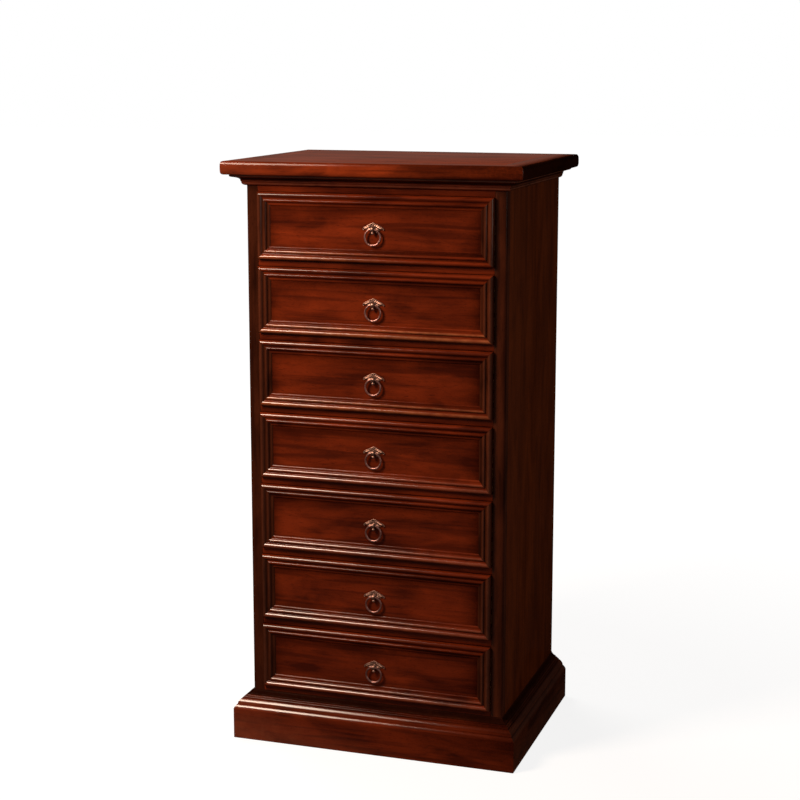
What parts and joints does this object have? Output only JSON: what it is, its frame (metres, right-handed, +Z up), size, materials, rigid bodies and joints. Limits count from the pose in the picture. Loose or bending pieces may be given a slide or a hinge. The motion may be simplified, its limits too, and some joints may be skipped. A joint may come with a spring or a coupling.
{
  "type": "semainier",
  "caption": "Tall narrow chest of shallow drawers in polished red-brown wood, with moulded drawer fronts, brass ring pulls, a moulded top and a stepped plinth.",
  "frame": {"origin": "on the floor, under the middle of the top board's outline", "axes": "+Z up, front of the drawers towards -Y, +X to the right as seen from the front"},
  "size_m": [0.644, 0.49, 1.25],
  "materials": {
    "polished_wood": "polished red-brown lacquer over figured wood",
    "drawer_wood": "plain sanded pale wood",
    "sheet_wood": "plain sheet wood",
    "aged_brass": "aged, darkened in the hollows"
  },
  "bodies": {
    "carcass": {"top_board": "polished_wood", "top_moulding_front": "polished_wood", "top_moulding_left": "polished_wood", "top_moulding_right": "polished_wood", "left_side": "polished_wood", "right_side": "polished_wood", "left_stile": "polished_wood", "right_stile": "polished_wood", "base_board": "polished_wood", "base_cove_front": "polished_wood", "base_cove_left": "polished_wood", "base_cove_right": "polished_wood", "plinth_front": "polished_wood", "plinth_left": "polished_wood", "plinth_right": "polished_wood", "plinth_back": "polished_wood", "back_panel": "sheet_wood", "bottom_frame": "polished_wood", "top_frame": "polished_wood", "dust_frame_1": "polished_wood", "dust_frame_2": "polished_wood", "dust_frame_3": "polished_wood", "dust_frame_4": "polished_wood", "dust_frame_5": "polished_wood", "dust_frame_6": "polished_wood"},
    "drawer_1": {"drawer_1_front": "polished_wood", "drawer_1_box": "drawer_wood", "drawer_1_bottom": "sheet_wood", "drawer_1_pull_plate": "aged_brass"},
    "ring_1": {"drawer_1_pull_ring": "aged_brass"},
    "drawer_2": {"drawer_2_front": "polished_wood", "drawer_2_box": "drawer_wood", "drawer_2_bottom": "sheet_wood", "drawer_2_pull_plate": "aged_brass"},
    "ring_2": {"drawer_2_pull_ring": "aged_brass"},
    "drawer_3": {"drawer_3_front": "polished_wood", "drawer_3_box": "drawer_wood", "drawer_3_bottom": "sheet_wood", "drawer_3_pull_plate": "aged_brass"},
    "ring_3": {"drawer_3_pull_ring": "aged_brass"},
    "drawer_4": {"drawer_4_front": "polished_wood", "drawer_4_box": "drawer_wood", "drawer_4_bottom": "sheet_wood", "drawer_4_pull_plate": "aged_brass"},
    "ring_4": {"drawer_4_pull_ring": "aged_brass"},
    "drawer_5": {"drawer_5_front": "polished_wood", "drawer_5_box": "drawer_wood", "drawer_5_bottom": "sheet_wood", "drawer_5_pull_plate": "aged_brass"},
    "ring_5": {"drawer_5_pull_ring": "aged_brass"},
    "drawer_6": {"drawer_6_front": "polished_wood", "drawer_6_box": "drawer_wood", "drawer_6_bottom": "sheet_wood", "drawer_6_pull_plate": "aged_brass"},
    "ring_6": {"drawer_6_pull_ring": "aged_brass"},
    "drawer_7": {"drawer_7_front": "polished_wood", "drawer_7_box": "drawer_wood", "drawer_7_bottom": "sheet_wood", "drawer_7_pull_plate": "aged_brass"},
    "ring_7": {"drawer_7_pull_ring": "aged_brass"}
  },
  "joints": [
    {"name": "drawer_1_slide", "type": "slide", "parent": "carcass", "child": "drawer_1", "axis": [0, -1, 0], "range_m": [0, 0.3]},
    {"name": "ring_1_hinge", "type": "hinge", "parent": "drawer_1", "child": "ring_1", "pos_m": [0, -0.2121, 1.11625], "axis": [-1, 0, 0], "range_deg": [0, 110]},
    {"name": "drawer_2_slide", "type": "slide", "parent": "carcass", "child": "drawer_2", "axis": [0, -1, 0], "range_m": [0, 0.3]},
    {"name": "ring_2_hinge", "type": "hinge", "parent": "drawer_2", "child": "ring_2", "pos_m": [0, -0.2121, 0.96125], "axis": [-1, 0, 0], "range_deg": [0, 110]},
    {"name": "drawer_3_slide", "type": "slide", "parent": "carcass", "child": "drawer_3", "axis": [0, -1, 0], "range_m": [0, 0.3]},
    {"name": "ring_3_hinge", "type": "hinge", "parent": "drawer_3", "child": "ring_3", "pos_m": [0, -0.2121, 0.80625], "axis": [-1, 0, 0], "range_deg": [0, 110]},
    {"name": "drawer_4_slide", "type": "slide", "parent": "carcass", "child": "drawer_4", "axis": [0, -1, 0], "range_m": [0, 0.3]},
    {"name": "ring_4_hinge", "type": "hinge", "parent": "drawer_4", "child": "ring_4", "pos_m": [0, -0.2121, 0.65125], "axis": [-1, 0, 0], "range_deg": [0, 110]},
    {"name": "drawer_5_slide", "type": "slide", "parent": "carcass", "child": "drawer_5", "axis": [0, -1, 0], "range_m": [0, 0.3]},
    {"name": "ring_5_hinge", "type": "hinge", "parent": "drawer_5", "child": "ring_5", "pos_m": [0, -0.2121, 0.49625], "axis": [-1, 0, 0], "range_deg": [0, 110]},
    {"name": "drawer_6_slide", "type": "slide", "parent": "carcass", "child": "drawer_6", "axis": [0, -1, 0], "range_m": [0, 0.3]},
    {"name": "ring_6_hinge", "type": "hinge", "parent": "drawer_6", "child": "ring_6", "pos_m": [0, -0.2121, 0.34125], "axis": [-1, 0, 0], "range_deg": [0, 110]},
    {"name": "drawer_7_slide", "type": "slide", "parent": "carcass", "child": "drawer_7", "axis": [0, -1, 0], "range_m": [0, 0.3]},
    {"name": "ring_7_hinge", "type": "hinge", "parent": "drawer_7", "child": "ring_7", "pos_m": [0, -0.2121, 0.18625], "axis": [-1, 0, 0], "range_deg": [0, 110]}
  ]
}
